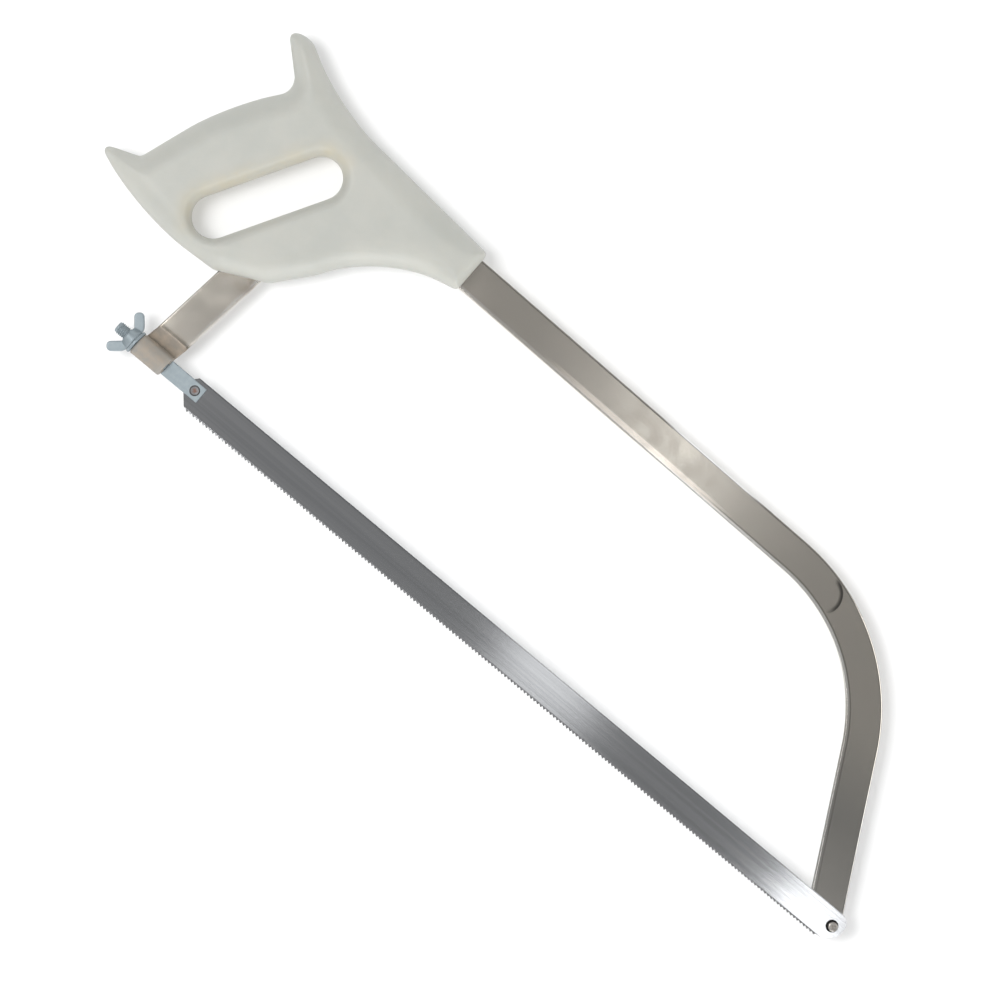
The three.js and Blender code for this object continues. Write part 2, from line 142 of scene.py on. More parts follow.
leg_up = slope(math.pi - LEG_ANGLE)
top_back = slope(math.pi - TOP_FALL)
arm_down = slope(-math.pi / 2 - ARM_LEAN)
bar_middle = Vector((0, 0, -BAR_UNDER_HOOK))
leg_foot = Vector((LEG_FOOT, 0, 0)) + bar_middle
rear_corner = Vector((arm_x(TOP_HEIGHT), TOP_HEIGHT, 0)) + bar_middle
leg_length = (rear_corner - leg_foot).cross(top_back).z / leg_up.cross(top_back).z
front_corner = leg_foot + leg_up * leg_length
front_turn = LEG_ANGLE - TOP_FALL
rear_turn = math.pi / 2 - ARM_LEAN + TOP_FALL
front_trim = FRONT_BEND_RADIUS * math.tan(front_turn / 2)
rear_trim = REAR_BEND_RADIUS * math.tan(rear_turn / 2)

# The section is drawn past the leg's foot. Each point keeps its offset from the middle.
bar = bmesh.new()
offset_layer = bar.verts.layers.float.new("offset")
leg_out = -left_of(leg_up)
across = leg_out * BAR_WIDTH / 2
through = Vector((0, 0, BAR_THICKNESS / 2))
leg_end = leg_foot - leg_up * BAR_WIDTH
bar.faces.new([
    bar.verts.new(leg_end + across + through),
    bar.verts.new(leg_end - across + through),
    bar.verts.new(leg_end - across - through),
    bar.verts.new(leg_end + across - through),
])
round_off(bar, bar.verts[:], BAR_EDGE_RADIUS, "VERTICES", BAR_EDGE_SEGMENTS)
wide = [edge for edge in bar.edges if edge.calc_length() > BAR_WIDTH / 2]
bmesh.ops.subdivide_edges(bar, edges=wide, cuts=BAR_COLUMNS - 1)
for vert in bar.verts:
    vert[offset_layer] = (vert.co - leg_end).dot(across.normalized())
start_ring = [edge for edge in bar.edges if edge.is_boundary]
ring = run_straight(bar, start_ring, leg_up * BAR_WIDTH * 2)

# The foot of the leg is rounded about the stud and cut level with the blade.
nose_radius = BAR_WIDTH / 2 - (STUD_X - LEG_FOOT) * leg_out.x
stud_point = Vector((STUD_X, 0, 0)) + bar_middle
nose_turn = math.pi / 2 + math.atan2(leg_out.y, leg_out.x)
for cut in range(NOSE_CUTS):
    outward = slope(nose_turn * cut / NOSE_CUTS - math.pi / 2)
    made = bmesh.ops.bisect_plane(
        bar, geom=bar.verts[:] + bar.edges[:] + bar.faces[:],
        plane_co=stud_point + outward * nose_radius, plane_no=outward, clear_outer=True,
    )["geom_cut"]
    bmesh.ops.contextual_create(bar, geom=edges_of(made))

ring = run_straight(bar, ring, leg_up * (leg_length - front_trim - BAR_WIDTH))
bend_start = front_corner - leg_up * front_trim
bend_centre = bend_start + left_of(leg_up) * FRONT_BEND_RADIUS
ring = run_round(bar, ring, bend_centre, front_turn)
top_run = (rear_corner - front_corner).length - front_trim - rear_trim
ring = run_straight(bar, ring, top_back * top_run)
rear_start = rear_corner - top_back * rear_trim
rear_centre = rear_start + left_of(top_back) * REAR_BEND_RADIUS
ring = run_round(bar, ring, rear_centre, rear_turn)

# Down the arm to the joggle, where the strip's width turns to lie along X.
drop = EYE_RADIUS - BAR_UNDER_HOOK
joggle_tilt = math.acos(1 - drop / (2 * JOGGLE_RADIUS))
joggle_run = 2 * JOGGLE_RADIUS * math.sin(joggle_tilt)
joggle_top = Vector((0, JOGGLE_TO_EYE + joggle_run, 0)) + bar_middle
arm_start = rear_corner + arm_down * rear_trim
arm_end = joggle_top + Vector((arm_x(joggle_top.y), 0, 0))
ring = run_straight(bar, ring, arm_end - arm_start)
bmesh.ops.transform(bar, matrix=turn_about(arm_end, "Z", ARM_LEAN), verts=ring_verts(ring))


def ring_y(ring):
    verts = ring_verts(ring)
    return sum(vert.co.y for vert in verts) / len(verts)


def roll_on(ring, centre, angle, steps, shift):
    """Rolls the strip about an axis along X, and shifts it along X as it goes."""
    step = turn_about(centre, "X", angle / steps)
    for _ in range(steps):
        before = ring_y(ring)
        ring = carry_on(bar, ring, step)
        aside = Vector((shift(ring_y(ring)) - shift(before), 0, 0))
        bmesh.ops.translate(bar, verts=ring_verts(ring), vec=aside)
    return ring


def joggle_x(y):
    share = (joggle_top.y - y) / joggle_run
    return arm_x(joggle_top.y) * (1 - share) + eye_x(JOGGLE_TO_EYE) * share


upper_centre = joggle_top - Vector((0, 0, JOGGLE_RADIUS))
lower_centre = Vector((0, JOGGLE_TO_EYE, JOGGLE_RADIUS - EYE_RADIUS))
ring = roll_on(ring, upper_centre, joggle_tilt, JOGGLE_STEPS, joggle_x)
ring = roll_on(ring, lower_centre, -joggle_tilt, JOGGLE_STEPS, joggle_x)
into_eye = Vector((eye_x(0) - eye_x(JOGGLE_TO_EYE), -JOGGLE_TO_EYE, 0))
ring = carry_on(bar, ring, Matrix.Translation(into_eye))
ring = roll_on(ring, Vector((0, 0, 0)), -EYE_WRAP, EYE_STEPS, eye_x)
bmesh.ops.contextual_create(bar, geom=ring)
bmesh.ops.recalc_face_normals(bar, faces=bar.faces)


class Shade:
    """A value in a finish's node tree. Arithmetic on it adds Math nodes to the tree."""

    def __init__(self, tree, socket=None):
        self.tree = tree
        self.socket = socket

    def make(self, kind, settings, sockets, out=0):
        """Adds a node: its settings first, then the values or links of its sockets."""
        node = self.tree.nodes.new("ShaderNode" + kind)
        for name, value in settings.items():
            setattr(node, name, value)
        for name, value in sockets.items():
            if isinstance(value, Shade):
                self.tree.links.new(value.socket, node.inputs[name])
            else:
                node.inputs[name].default_value = value
        return Shade(self.tree, node.outputs[out] if node.outputs else None)

    def math(self, operation, first, second=0.0):
        return self.make("Math", {"operation": operation}, {0: first, 1: second})

    def __add__(self, other):
        return self.math("ADD", self, other)

    def __sub__(self, other):
        return self.math("SUBTRACT", self, other)

    def __rsub__(self, other):
        return self.math("SUBTRACT", other, self)

    def __mul__(self, other):
        return self.math("MULTIPLY", self, other)

    __radd__ = __add__
    __rmul__ = __mul__

    def __abs__(self):
        return self.math("ABSOLUTE", self)

    def root(self):
        return self.math("SQRT", self)

    def at_least(self, other):
        return self.math("MAXIMUM", self, other)

    def axis(self, name):
        return self.make("SeparateXYZ", {}, {"Vector": self}, name)

    def distance_to(self, point):
        return self.make("VectorMath", {"operation": "DISTANCE"}, {0: self, 1: point}, "Value")

    def stretched(self, scale, turn=0.0):
        sockets = {"Vector": self, "Rotation": (0, 0, turn), "Scale": scale}
        return self.make("Mapping", {}, sockets)

    def noise(self, scale, detail=3.0, rough=0.55):
        sockets = {"Vector": self, "Scale": scale, "Detail": detail, "Roughness": rough}
        return self.make("TexNoise", {}, sockets)

    def rise(self, low, high):
        """0 below low, 1 above high, and smooth between them."""
        sockets = {"Value": self, "From Min": low, "From Max": high}
        return self.make("MapRange", {"interpolation_type": "SMOOTHSTEP"}, sockets)

    def fall(self, low, high):
        return 1 - self.rise(low, high)

    def between(self, start, full, fade, end):
        """1 from full to fade, and 0 before start and past end."""
        return self.rise(start, full) * self.fall(fade, end)

    def tint(self, dark, light):
        """The colour that lies between two colours by this value."""
        return self.make("Mix", {"data_type": "RGBA"}, {0: self, 6: dark, 7: light}, 2)

    def bump(self, strength, distance):
        sockets = {"Strength": strength, "Distance": distance, "Height": self}
        return self.make("Bump", {}, sockets)


def rgb(red, green, blue):
    return (red, green, blue, 1)


def new_finish(name):
    """An empty finish, and the Object coordinates that its pattern is laid out on."""
    material = bpy.data.materials.new(name)
    material.use_nodes = True
    material.node_tree.nodes.clear()
    return material, Shade(material.node_tree).make("TexCoord", {}, {}, "Object")


def lay_coats(colour, coats):
    """Lays coats over a colour in turn, each by its mask, its share and its own colour."""
    for mask, share, coat in coats:
        colour = (mask * share).tint(colour, coat)
    return colour


def seal_finish(place, sockets):
    shader = place.make("BsdfPrincipled", {}, sockets)
    place.make("OutputMaterial", {}, {"Surface": shader})


SHARP_ANGLE = math.radians(8.5)


def make_piece(shape, name, material, sharp=SHARP_ANGLE):
    """Turns a mesh that is drawn from the hook point into an object at the origin."""
    bmesh.ops.translate(shape, verts=shape.verts, vec=hook)
    data = bpy.data.meshes.new(name)
    shape.to_mesh(data)
    shape.free()
    data.shade_smooth()
    data.set_sharp_from_angle(angle=sharp)
    data.materials.append(material)
    piece = bpy.data.objects.new(name, data)
    bpy.context.scene.collection.objects.link(piece)
    return piece


# The finish is laid out by the offset from the bar's centre line, outwards positive, and by
# the place from the hook point. The bending has left a flattened lip on the inner edge, with
# a painted highlight on it and a line of painted shade beside it. The sheen and the outer
# glint are painted highlights; the edge lines, the foot, the gap round the stud and the
# joggle's slope carry painted shade, and a painted dark reflection lies across the bend.
# The rolling has dulled the joggle and the eye.
LIP_HIGHLIGHT = (-0.0089, -0.0081)
LIP_SHADE_LINE = (-0.009, -0.0083, -0.0083, -0.0075)
LIP_START = (0.2, 0.26)
LIP_HIGHLIGHT_BEFORE = 0.35
SHEEN_ALONG = (0.14, 0.19, 0.26, 0.30)
SHEEN_ACROSS = (-0.0098, -0.009, -0.0068, -0.0056)
OUTER_EDGE = (0.0097, 0.0101)
OUTER_GLINT = (0.225, 0.245, 0.29, 0.31)
INNER_EDGE = (-0.0101, -0.0097)
LEG_START = (0.40, 0.435)
FOOT_TOP = (0.05, 0.11)
STUD_SHADOW = (0.0042, 0.0052)
BEND_REFLECTION_CENTRE = Vector((0.367, 0.149, BAR_THICKNESS / 2)) + bar_middle
BEND_REFLECTION_RING = (0.0096, 0.0122, 0.0124, 0.0131)
BEND_REFLECTION_FROM_X = (0.367, 0.372)
BEND_REFLECTION_FROM_Y = (0.141, 0.148)
RUST_REACH = (0.012, 0.03)
ROLLED_REACH = (0.0145, 0.0175)
DULLED_REACH = (0.0162, 0.0192)
JOGGLE_SHADE_BAND = (0.0045, 0.007, 0.015, 0.021)
GRIP_EDGE_X = (0.0, 0.05)
GRIP_EDGE_Y = (0.055, 0.075)
EDGE_SHADE_GREY = rgb(0.2, 0.19, 0.17)

bow_steel, place = new_finish("bow_steel")
offset = place.make("Attribute", {"attribute_name": "offset"}, {}, "Fac")
along_x = place.axis("X") - hook.x
along_y = place.axis("Y") - hook.y
stain = place.noise(28, detail=4, rough=0.6).rise(0.35, 0.75)
fine = place.noise(1100).rise(0.3, 0.7)
streak = place.stretched((30, 900, 900), TOP_FALL).noise(1, detail=2)
grain = place.noise(900, detail=2)
past_grip = along_x.rise(*LIP_START)
# Painted highlight on the inner edge's flattened lip, and painted shade in a line beside it.
lip_highlight = offset.fall(*LIP_HIGHLIGHT) * (LIP_HIGHLIGHT_BEFORE + past_grip * (1 - LIP_HIGHLIGHT_BEFORE))
lip_shade_line = offset.between(*LIP_SHADE_LINE) * past_grip
# Painted sheen, a warm highlight near the inner edge of the top.
sheen = along_x.between(*SHEEN_ALONG) * offset.between(*SHEEN_ACROSS)
# Painted shade along the outer edge, with a painted glint on part of it.
outer_edge = offset.rise(*OUTER_EDGE)
outer_glint = outer_edge * along_x.between(*OUTER_GLINT)
on_leg = along_x.rise(*LEG_START)
# Painted shade along the leg's inner edge.
leg_edge_shade = offset.fall(*INNER_EDGE) * on_leg
# Painted shade on the leg's foot.
foot_shade = on_leg * along_y.fall(*FOOT_TOP)
# Painted shadow on the nose, in the blade's hole round the stud.
stud_hole_shadow = place.distance_to(hook + stud_point).fall(*STUD_SHADOW)
# A painted dark reflection, an arc across the bend.
bend_reflection = place.distance_to(hook + BEND_REFLECTION_CENTRE).between(*BEND_REFLECTION_RING)
bend_reflection = bend_reflection * along_x.rise(*BEND_REFLECTION_FROM_X) * along_y.rise(*BEND_REFLECTION_FROM_Y)
from_eye = along_y.at_least(along_x + EYE_SETBACK - BAR_WIDTH)
rolled = from_eye.fall(*ROLLED_REACH)
dulled = from_eye.fall(*DULLED_REACH)
# Painted shade on the joggle's slope.
joggle_shade = from_eye.between(*JOGGLE_SHADE_BAND)
rust = from_eye.fall(*RUST_REACH) * place.noise(160, detail=4).rise(0.35, 0.7)
grip_edge = along_x.fall(*GRIP_EDGE_X) * along_y.rise(*GRIP_EDGE_Y)
grip_edge = grip_edge * place.noise(120).rise(0.4, 0.7)
bare_steel = stain.tint(rgb(0.69, 0.65, 0.58), rgb(0.61, 0.565, 0.50))
seal_finish(place, {
    "Base Color": lay_coats(bare_steel, [
        (fine, 0.6, rgb(0.55, 0.52, 0.47)),
        # From here to the gap round the stud, the coats are painted highlights and painted shade.
        (lip_highlight, 1 - on_leg * 0.8, rgb(1.0, 0.98, 0.94)),
        (leg_edge_shade, 0.85, EDGE_SHADE_GREY),
        (lip_shade_line, 0.75, rgb(0.26, 0.24, 0.21)),
        (sheen, 1, rgb(1.0, 0.93, 0.84)),
        (outer_edge, 0.75, EDGE_SHADE_GREY),
        (outer_glint, 1, rgb(1.0, 0.99, 0.97)),
        (foot_shade, 0.6, rgb(0.33, 0.33, 0.32)),
        (stud_hole_shadow, 1, rgb(0.04, 0.04, 0.04)),
        (dulled, 0.9, rgb(0.205, 0.193, 0.174)),
        # Painted shade on the joggle's slope.
        (joggle_shade, 0.8, rgb(0.17, 0.145, 0.115)),
        # Painted dark reflection across the bend.
        (bend_reflection, 0.9, rgb(0.07, 0.065, 0.06)),
        (grip_edge, 0.5, rgb(0.36, 0.27, 0.19)),
        (rust, 0.45, rgb(0.34, 0.27, 0.2)),
    ]),
    "Metallic": 1 - rolled * 0.85,
    "Roughness": 0.12 + stain * 0.05 + grain * 0.04 + rolled * 0.45,
    "Normal": (streak + grain * 0.4).bump(strength=0.2, distance=0.00001),
})
bow_bar = make_piece(bar, "bow_bar", bow_steel)
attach(bow_bar, "bow")
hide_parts("frame_bar")

# Front stud. A turned steel pin that the blade's front hole hooks on. Its tail is
# spread on the far face of the bow's nose.
STUD_RADIUS = 0.0029
STUD_TOP = 0.0024
STUD_ROUND = 0.0007
STUD_ROUND_MIDDLE = 0.0002
STUD_CROWN = 0.0001
STUD_TAIL_RADIUS = 0.0045
STUD_TAIL = 0.0011
STUD_DOME = [(0.7, 0.9), (0.95, 0.4)]
BAR_BACK = -BAR_UNDER_HOOK - BAR_THICKNESS / 2
TURNED_SIDES = 48
WELD = 1e-6
ALONG = Vector((1, 0, 0))
ASIDE = Vector((0, 1, 0))
UP = Vector((0, 0, 1))
MIDDLE = Vector((0, 0, 0))


def turn_profile(shape, profile, axis, out, centre=MIDDLE):
    """Spins a profile of (radius, height) points about an axis through a centre."""
    points = [shape.verts.new(centre + out * radius + axis * height) for radius, height in profile]
    edges = [shape.edges.new(pair) for pair in zip(points, points[1:])]
    bmesh.ops.spin(
        shape, geom=points + edges, cent=centre, axis=axis, angle=2 * math.pi,
        steps=TURNED_SIDES, use_merge=True,
    )
    bmesh.ops.remove_doubles(shape, verts=shape.verts, dist=WELD)
    bmesh.ops.recalc_face_normals(shape, faces=shape.faces)


stud = bmesh.new()
turn_profile(stud, [
    (0, BAR_BACK - STUD_TAIL),
    *[(STUD_TAIL_RADIUS * out, BAR_BACK - STUD_TAIL * down) for out, down in STUD_DOME],
    (STUD_TAIL_RADIUS, BAR_BACK),
    (STUD_RADIUS, BAR_BACK),
    (STUD_RADIUS, STUD_TOP - STUD_ROUND),
    (STUD_RADIUS - STUD_ROUND_MIDDLE, STUD_TOP - STUD_ROUND_MIDDLE),
    (STUD_RADIUS - STUD_ROUND, STUD_TOP),
    (0, STUD_TOP + STUD_CROWN),
], UP, ALONG, Vector((STUD_X, 0, 0)))

stud_steel, place = new_finish("stud_steel")
wear = place.noise(700, detail=4).rise(0.35, 0.7)
seal_finish(place, {
    "Base Color": wear.tint(rgb(0.55, 0.53, 0.5), rgb(0.26, 0.23, 0.2)),
    "Metallic": 1.0,
    "Roughness": 0.28 + wear * 0.25,
    "Normal": place.noise(2500).bump(strength=0.4, distance=0.0001),
})
front_pin = make_piece(stud, "front_pin", stud_steel)
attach(front_pin, "bow")
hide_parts("front_stud")

# Grip. Off-white polyethylene moulded round the bar, with two horns and a slot for the
# fingers. Its corners are x, y and radius, from where the bar's rear centre lines cross.
GRIP_CORNERS = [
    (-0.1287, -0.0843, 0.0037),
    (-0.1037, -0.0748, 0.0032),
    (-0.0833, -0.0157, 0.160),
    (-0.0571, 0.0153, 0.0102),
    (-0.0839, 0.0401, 0.0036),
    (-0.0722, 0.0466, 0.0138),
    (-0.0306, 0.0243, 0.143),
    (0.0941, 0.0145, 0.0034),
    (0.0937, -0.0140, 0.0032),
    (0.0443, -0.0263, 0.088),
    (0.0234, -0.0613, 0.030),
    (0.0045, -0.0837, 0.015),
    (-0.0265, -0.0989, 0.0048),
    (-0.0844, -0.1023, 0.162),
]
GRIP_HALF = 0.014
GRIP_ROUND = 0.016
GRIP_END = 0.0941
GRIP_END_LENGTH = 0.03
GRIP_END_ROUND = 0.0035
SLOT_REAR = Vector((-0.0469, -0.0745, 0))
SLOT_FRONT = Vector((-0.0121, -0.0151, 0))
SLOT_RADIUS = 0.0131
SLOT_ROUND = 0.0065
OUTLINE_STEP = 0.002
ARC_ERROR = 0.00003
RIM_STEPS = [0.00015, 0.0005, 0.0011, 0.002, 0.0032, 0.0048, 0.007, 0.0095]
MIDDLE_STEPS = 8
SHORTEST_RAY = 0.024
GRIP_VOXEL = 0.0009
GRIP_SMOOTHING = 7

outline = bmesh.new()
corners = [outline.verts.new((x, y, 0)) for x, y, _ in GRIP_CORNERS]
outline.faces.new(corners)
halves = []
for vert in corners:
    back, ahead = [edge.other_vert(vert).co - vert.co for edge in vert.link_edges]
    halves.append(back.angle(ahead) / 2)
reaches = [radius / math.tan(half) for (_, _, radius), half in zip(GRIP_CORNERS, halves)]
room = []
for i, vert in enumerate(corners):
    following = (i + 1) % len(corners)
    side_length = (vert.co - corners[following].co).length
    room.append(side_length / (reaches[i] + reaches[following]))
for i, vert in enumerate(corners):
    share = min(1, room[i - 1], room[i])
    widest = 2 * math.acos(1 - ARC_ERROR / (GRIP_CORNERS[i][2] * share))
    arc_steps = math.ceil((math.pi - 2 * halves[i]) / widest)
    round_off(outline, [vert], reaches[i] * share, "VERTICES", arc_steps)
for edge in [edge for edge in outline.edges if edge.calc_length() > OUTLINE_STEP]:
    cuts = int(edge.calc_length() / OUTLINE_STEP)
    bmesh.ops.subdivide_edges(outline, edges=[edge], cuts=cuts)
rim = [vert.co.copy() for vert in outline.faces[:][0].verts]
outline.free()

slot_axis = (SLOT_FRONT - SLOT_REAR).normalized()
slot_length = (SLOT_FRONT - SLOT_REAR).length


def slot_point(point):
    """The point on the slot's edge that faces a point of the grip."""
    along = min(max((point - SLOT_REAR).dot(slot_axis), 0), slot_length)
    foot = SLOT_REAR + slot_axis * along
    return foot + (point - foot).normalized() * SLOT_RADIUS


slot_rim = [slot_point(point) for point in rim]


def ray_stops(length):
    """Shares of the way from the rim to the slot, close together near both edges."""
    scale = min(1, length / SHORTEST_RAY) / length
    near = [0] + [step * scale for step in RIM_STEPS]
    gap = 1 - 2 * near[-1]
    middle = [near[-1] + gap * k / MIDDLE_STEPS for k in range(1, MIDDLE_STEPS)]
    return near + middle + [1 - stop for stop in reversed(near)]


def wall_round(loop):
    """A search tree of the upright wall that stands on a closed loop of points."""
    points = [point + UP * height for point in loop for height in (-GRIP_HALF, GRIP_HALF)]
    last = len(points)
    faces = [(k, (k + 2) % last, (k + 3) % last, k + 1) for k in range(0, last, 2)]
    return BVHTree.FromPolygons(points, faces)


rim_wall = wall_round(rim)
slot_wall = wall_round(slot_rim)


def rounded(depth, radius):
    rest = 1 - min(depth / radius, 1)
    return math.sqrt(1 - rest ** 2)


def grip_height(point):
    """Half the grip's thickness at a point: it rounds over towards both edges."""
    near_end = min(max((point.x - GRIP_END + GRIP_END_LENGTH) / GRIP_END_LENGTH, 0), 1)
    radius = GRIP_ROUND + (GRIP_END_ROUND - GRIP_ROUND) * near_end ** 2
    at_rim = rounded(rim_wall.find_nearest(point)[3], radius)
    at_slot = rounded(slot_wall.find_nearest(point)[3], SLOT_ROUND)
    return GRIP_HALF * at_rim * at_slot


# The upper half is carried inwards from the rim to the slot and then mirrored.
grip = bmesh.new()
ray = grip.verts.layers.int.new("ray")
loop = [grip.verts.new(point) for point in rim]
for k, vert in enumerate(loop):
    vert[ray] = k
ring = [grip.edges.new((loop[k - 1], loop[k])) for k in range(len(loop))]
stops = [ray_stops((start - end).length) for start, end in zip(rim, slot_rim)]
for level in range(1, len(stops[0])):
    ring = carry_on(grip, ring, Matrix())
    for vert in ring_verts(ring):
        k = vert[ray]
        vert.co = rim[k].lerp(slot_rim[k], stops[k][level])
        vert.co.z = grip_height(vert.co)
upper_half = grip.verts[:] + grip.edges[:] + grip.faces[:]
bmesh.ops.mirror(grip, geom=upper_half, axis="Z", merge_dist=WELD)
bmesh.ops.remove_doubles(grip, verts=grip.verts, dist=WELD)
bmesh.ops.recalc_face_normals(grip, faces=grip.faces)
bmesh.ops.translate(grip, verts=grip.verts, vec=rear_corner)

# The plastic has yellowed by the slot's upper edge; painted shade darkens its side walls.
STAIN_WIDTH = (0.0, 0.014)
STAIN_SIDE = (-0.012, 0.004)
WALL_SHADE_HEIGHT = (0.001, 0.008)
grip_plastic, place = new_finish("grip_plastic")
cloud = place.noise(35, detail=4, rough=0.6)
by_slot = place.make("Mapping", {"vector_type": "TEXTURE"}, {
    "Vector": place,
    "Location": hook + rear_corner + (SLOT_REAR + SLOT_FRONT) / 2,
    "Rotation": (0, 0, math.atan2(slot_axis.y, slot_axis.x)),
})
beyond_end = (abs(by_slot.axis("X")) - slot_length / 2).at_least(0)
beside = by_slot.axis("Y")
from_slot = (beyond_end * beyond_end + beside * beside).root() - SLOT_RADIUS
patchy = 0.35 + place.noise(90).rise(0.3, 0.7) * 0.65
stain = from_slot.fall(*STAIN_WIDTH) * patchy * beside.rise(*STAIN_SIDE)
# Painted shade, darkest halfway up the side walls.
wall_shade = abs(place.axis("Z") - hook.z - rear_corner.z).fall(*WALL_SHADE_HEIGHT)
white = cloud.rise(0.3, 0.7).tint(rgb(0.39, 0.395, 0.365), rgb(0.42, 0.42, 0.385))
seal_finish(place, {
    "Base Color": lay_coats(white, [
        (stain, 0.6, rgb(0.455, 0.405, 0.29)),
        (wall_shade, 0.35, rgb(0.28, 0.28, 0.26)),
    ]),
    "Roughness": 0.42 + cloud * 0.1,
    "Subsurface Weight": 0.25,
    "Subsurface Radius": (0.006, 0.005, 0.004),
    "Subsurface Scale": 0.6,
    "Specular IOR Level": 0.4,
    "Normal": (place.noise(420) + place.noise(60, detail=2) * 2).bump(strength=0.12, distance=0.0003),
})
moulded_grip = make_piece(grip, "moulded_grip", grip_plastic, math.pi)


def mould_skin(piece, voxel, smoothing):
    """Remeshes a piece as one skin and softens its corners, as a mould leaves them."""
    skin = piece.modifiers.new("skin", "REMESH")
    skin.mode = "VOXEL"
    skin.voxel_size = voxel
    skin.use_smooth_shade = True
    softened = piece.modifiers.new("softened", "SMOOTH")
    softened.iterations = smoothing


mould_skin(moulded_grip, GRIP_VOXEL, GRIP_SMOOTHING)
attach(moulded_grip, "bow")
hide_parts("handle")

# Draw bar. A zinc-plated rod, forged flat and slotted at its front end for the blade's
# tail, and threaded at its rear end for the wing nut.
EYE_HALF = BAR_WIDTH / 2 / math.cos(ARM_LEAN)
EYE_GAP = 0.0004
FLAT_REAR = -EYE_SETBACK + EYE_HALF + EYE_GAP
FLAT_TIP = 0.0052
FLAT_WIDTH = 0.0106
FLAT_TIP_WIDTH = 0.0102
FLAT_HALF = 0.0024
FLAT_EDGE = 0.0004
FORK_HALF = 0.0006
FORK_REAR = -0.0085
SMALL_ROUND_SEGMENTS = 3
ROD_RADIUS = 0.004
ROD_SLACK = 0.0001
ROD_IN_FLAT = 0.001
ROD_TAPER = 0.004
ROD_CORE = 0.0034
ROD_END = 0.0606
ROD_CHAMFER = 0.0006
THREAD_START = 0.0434
THREAD_PITCH = 0.00125
THREAD_SINK = 0.0002
THREAD_ROOT = ROD_CORE - THREAD_SINK
THREAD_CREST = (0.45, 0.55)
THREAD_STEPS = 24


def thicken(shape, run):
    """Extrudes the flat faces of a shape along a vector."""
    made = bmesh.ops.extrude_face_region(shape, geom=shape.faces[:])["geom"]
    bmesh.ops.translate(shape, verts=verts_of(made), vec=run)


def add_shape(shape, extra):
    """Adds another mesh to a shape."""
    data = bpy.data.meshes.new("extra")
    extra.to_mesh(data)
    extra.free()
    shape.from_mesh(data)
    bpy.data.meshes.remove(data)


drawer = bmesh.new()
fork_profile = [
    (FLAT_REAR, -FLAT_HALF),
    (FLAT_TIP, -FLAT_HALF),
    (FLAT_TIP, -FORK_HALF),
    (FORK_REAR, -FORK_HALF),
    (FORK_REAR, FORK_HALF),
    (FLAT_TIP, FORK_HALF),
    (FLAT_TIP, FLAT_HALF),
    (FLAT_REAR, FLAT_HALF),
]
drawer.faces.new([drawer.verts.new((x, -FLAT_WIDTH / 2, z)) for x, z in fork_profile])
thicken(drawer, ASIDE * FLAT_WIDTH)
tip_verts = [vert for vert in drawer.verts if vert.co.x > 0]
bmesh.ops.scale(drawer, verts=tip_verts, vec=(1, FLAT_TIP_WIDTH / FLAT_WIDTH, 1))
for vert in drawer.verts:
    if vert.co.x < FORK_REAR - WELD:
        vert.co.x += eye_x(vert.co.y) - eye_x(0)
bmesh.ops.recalc_face_normals(drawer, faces=drawer.faces)
outer_edges = [
    edge for edge in drawer.edges if max(abs(vert.co.z) for vert in edge.verts) > FORK_HALF * 2
]
round_off(drawer, outer_edges, FLAT_EDGE, "EDGES", SMALL_ROUND_SEGMENTS)

rod = bmesh.new()
turn_profile(rod, [
    (0, -FLAT_REAR - ROD_IN_FLAT),
    (FLAT_HALF - FLAT_EDGE, -FLAT_REAR - ROD_IN_FLAT),
    (FLAT_HALF, -FLAT_REAR + ROD_IN_FLAT),
    (ROD_RADIUS - ROD_SLACK, -FLAT_REAR + ROD_TAPER),
    (ROD_RADIUS - ROD_SLACK, THREAD_START),
    (ROD_CORE, THREAD_START + ROD_CHAMFER),
    (ROD_CORE, ROD_END - ROD_CHAMFER),
    (ROD_CORE - ROD_CHAMFER, ROD_END),
    (0, ROD_END),
], -ALONG, ASIDE)
ridge_profile = [
    (THREAD_ROOT, THREAD_START),
    (ROD_RADIUS, THREAD_START + THREAD_PITCH * THREAD_CREST[0]),
    (ROD_RADIUS, THREAD_START + THREAD_PITCH * THREAD_CREST[1]),
    (THREAD_ROOT, THREAD_START + THREAD_PITCH),
]
ridge = rod.faces.new([rod.verts.new((-height, radius, 0)) for radius, height in ridge_profile])
turns = math.floor((ROD_END - THREAD_START) / THREAD_PITCH) - 1
bmesh.ops.spin(
    rod, geom=[ridge], cent=MIDDLE, axis=-ALONG, dvec=-ALONG * THREAD_PITCH / THREAD_STEPS,
    angle=2 * math.pi * turns, steps=turns * THREAD_STEPS,
)
bmesh.ops.recalc_face_normals(rod, faces=rod.faces)
add_shape(drawer, rod)


def zinc_finish(name):
    """Dull bluish zinc plating: mottled, a little darker where it is handled."""
    zinc, place = new_finish(name)
    mottle = place.noise(260, detail=4, rough=0.6).rise(0.3, 0.7)
    cloud = place.noise(70, detail=2).rise(0.35, 0.65)
    pale = mottle.tint(rgb(0.208, 0.244, 0.264), rgb(0.266, 0.306, 0.325))
    seal_finish(place, {
        "Base Color": lay_coats(pale, [(cloud, 0.35, rgb(0.194, 0.231, 0.25))]),
        "Metallic": 0.4,
        "Roughness": 0.42 + mottle * 0.14,
        "Normal": place.noise(1800).bump(strength=0.3, distance=0.0001),
    })
    return zinc


draw_rod = make_piece(drawer, "draw_rod", zinc_finish("draw_bar_zinc"))
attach(draw_rod, "drawer")
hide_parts("draw_bar")

